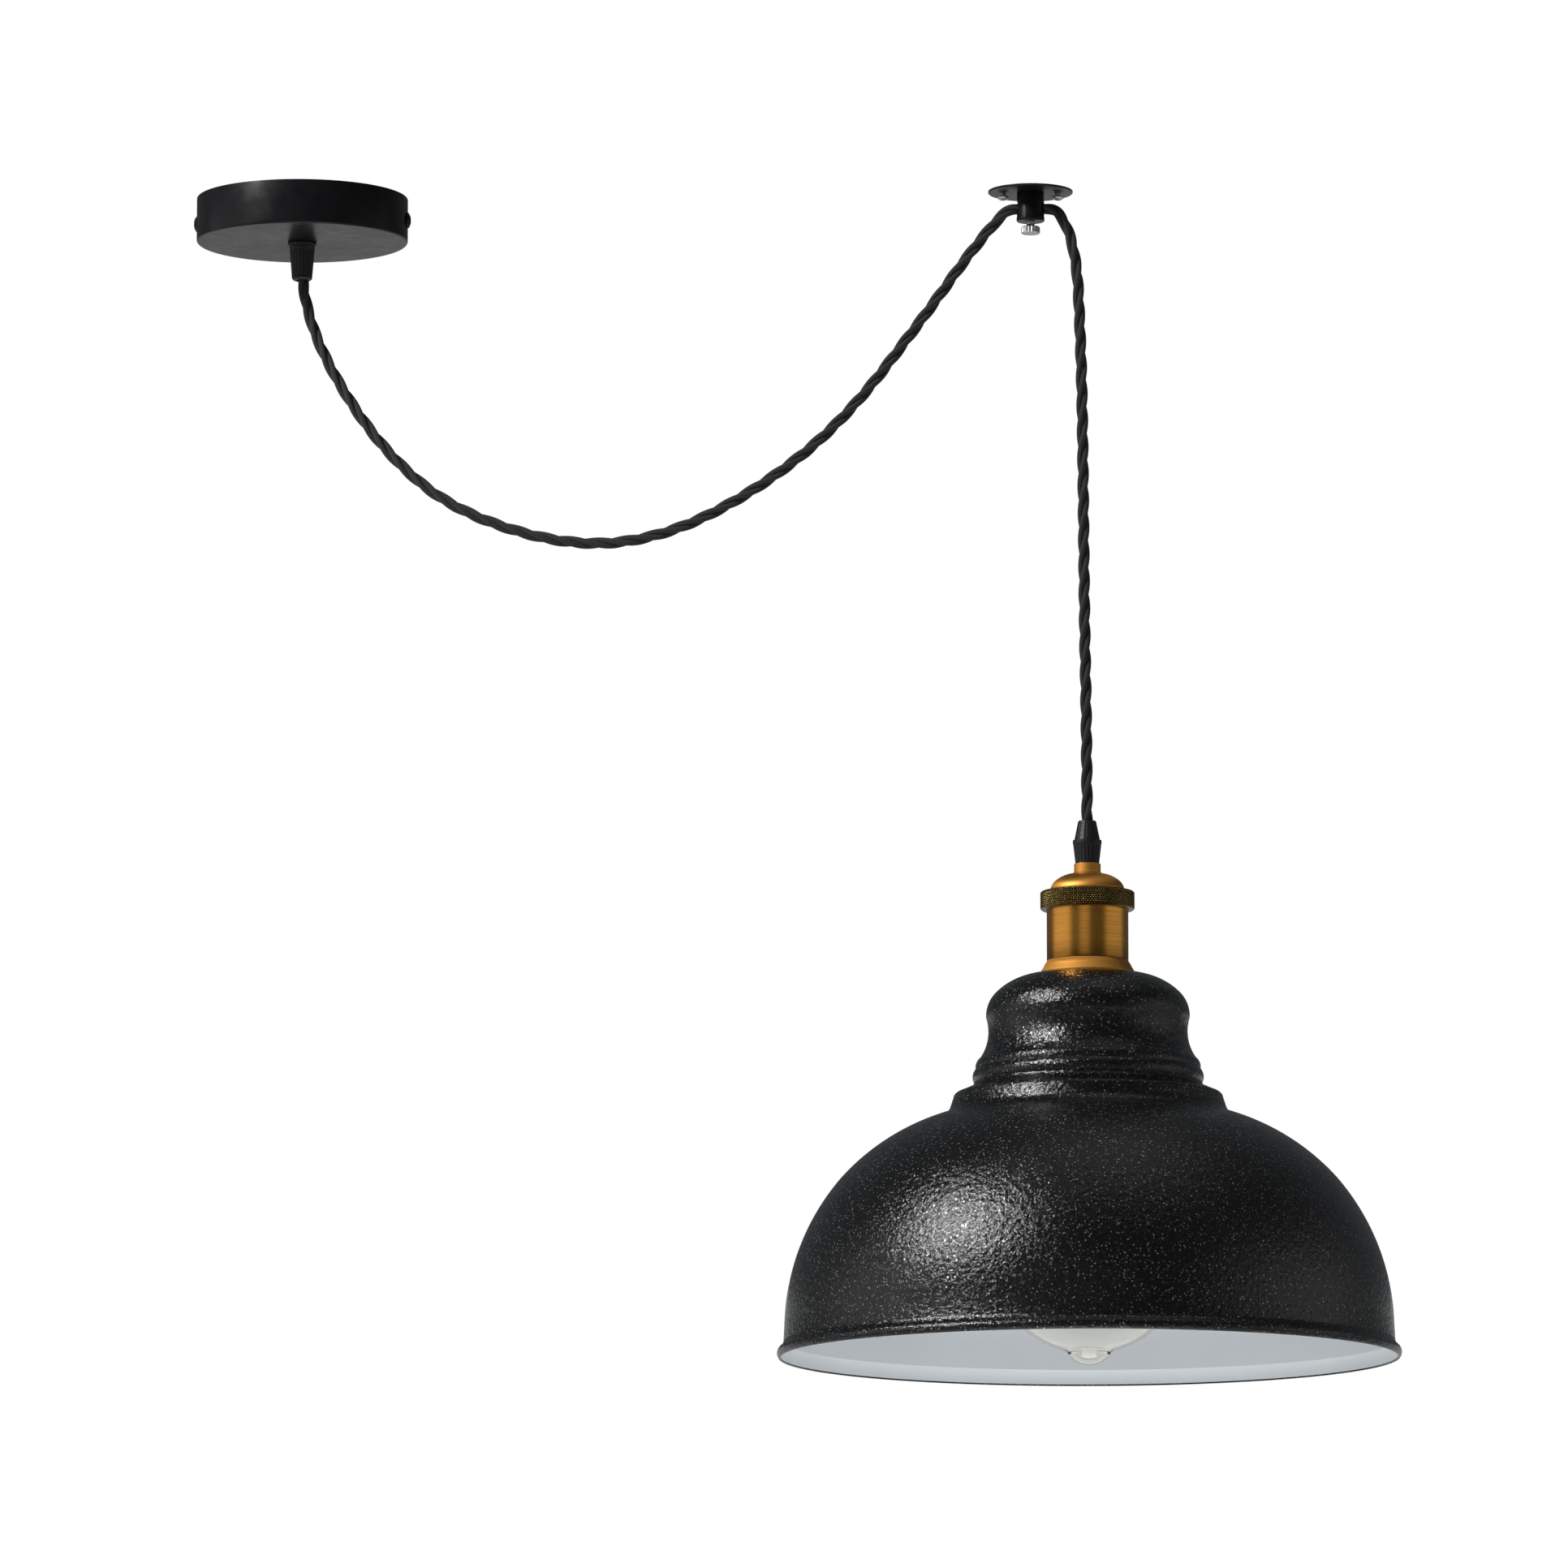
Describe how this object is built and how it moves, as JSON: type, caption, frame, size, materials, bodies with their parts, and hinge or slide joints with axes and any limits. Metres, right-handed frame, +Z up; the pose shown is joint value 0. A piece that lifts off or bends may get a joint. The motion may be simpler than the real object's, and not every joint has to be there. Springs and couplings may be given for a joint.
{
  "type": "pendant ceiling light",
  "caption": "Swag pendant light: round ceiling rose, twisted fabric cord looped to a ceiling clamp, and a black bell shade on a brass holder with a globe bulb.",
  "frame": {"origin": "centre of the ceiling rose, on the ceiling plane", "axes": "+Z up into the ceiling, +X from the rose towards the ceiling clamp, +Y away from the viewer"},
  "size_m": [0.5667, 0.2896, 0.5557],
  "materials": {
    "black_satin": "satin black paint",
    "black_hammered": "glossy black wrinkle enamel outside, white enamel inside",
    "zinc_steel": "bright zinc plate",
    "brass": "plain brass",
    "antique_brass": "brushed antique brass",
    "dark_bronze": "dark bronze, knurled",
    "black_nylon": "moulded nylon",
    "white_plastic": "moulded nylon",
    "white_ceramic": "glazed",
    "wire_cover": "PVC insulation",
    "black_fabric": "braided textile, three strands twisted",
    "amber_glass": "clear, faintly amber",
    "clear_glass": "clear",
    "filament_wire": "drawn wire"
  },
  "bodies": {
    "root": {"canopy_cup": "black_satin", "canopy_bracket": "zinc_steel", "canopy_side_screws": "black_satin", "canopy_earth_screw": "brass", "terminal_block": "white_plastic", "terminal_block_screws": "zinc_steel", "terminal_block_fixing_screw": "zinc_steel", "canopy_wires": "wire_cover", "canopy_grip_base": "black_nylon", "canopy_grip_cap": "black_nylon", "canopy_grip_nut": "zinc_steel", "hook_plate": "black_satin", "hook_barrel": "black_satin", "hook_barrel_screw": "zinc_steel", "hook_plate_screws": "zinc_steel", "swag_cord": "black_fabric"},
    "thumb_tip": {"clamp_tip": "white_plastic"},
    "thumb_screw": {"clamp_screw": "zinc_steel"},
    "bend": {"cord_bend": "black_fabric"},
    "pendulum": {"cord_drop": "black_fabric"},
    "lamp": {"holder_grip_cap": "black_nylon", "holder_grip_base": "black_nylon", "holder_grip_nut": "zinc_steel", "holder_neck_bush": "antique_brass", "holder_cap": "antique_brass", "knurled_ring": "dark_bronze", "holder_body": "antique_brass", "holder_skirt": "antique_brass", "shade_ring": "antique_brass", "holder_earth_screw": "brass", "holder_wires": "wire_cover", "socket_insulator": "white_ceramic", "socket_shell": "brass", "centre_contact": "brass", "socket_terminal_screws": "brass", "shade": "black_hammered"},
    "bulb_tip": {"bulb_contact": "brass"},
    "bulb": {"bulb_cap": "brass", "bulb_glass": "amber_glass", "bulb_stem": "clear_glass", "bulb_filament": "filament_wire"}
  },
  "joints": [
    {"name": "swing_front", "type": "hinge", "parent": "root", "child": "bend", "pos_m": [0.3473, -0.02, -0.0079], "axis": [1, 0, 0], "range_deg": [-20, 20]},
    {"name": "swing_side", "type": "hinge", "parent": "bend", "child": "pendulum", "pos_m": [0.3673, -0.02, -0.047], "axis": [0, 1, 0], "range_deg": [-20, 20]},
    {"name": "lamp_twist", "type": "hinge", "parent": "pendulum", "child": "lamp", "pos_m": [0.3703, -0.02, -0.3005], "axis": [0, 0, 1], "range_deg": [-90, 90], "stiffness_Nm_per_rad": 0.01},
    {"name": "bulb_travel", "type": "slide", "parent": "lamp", "child": "bulb_tip", "axis": [0, 0, -1], "range_m": [0, 0.01449]},
    {"name": "bulb_turn", "type": "hinge", "parent": "bulb_tip", "child": "bulb", "pos_m": [0.3703, -0.02, -0.36], "axis": [0, 0, -1], "range_deg": [0, 1440]},
    {"name": "clamp_travel", "type": "slide", "parent": "root", "child": "thumb_tip", "axis": [0, 0, -1], "range_m": [0, 0.0014]},
    {"name": "clamp_turn", "type": "hinge", "parent": "thumb_tip", "child": "thumb_screw", "pos_m": [0.3447, -0.02, -0.0165], "axis": [0, 0, -1], "range_deg": [0, 720]}
  ],
  "couplings": [
    {"joint": "bulb_travel", "follows": "bulb_turn", "m_per_rad": 0.00057614},
    {"joint": "clamp_turn", "follows": "clamp_travel", "rad_per_m": 8976}
  ]
}
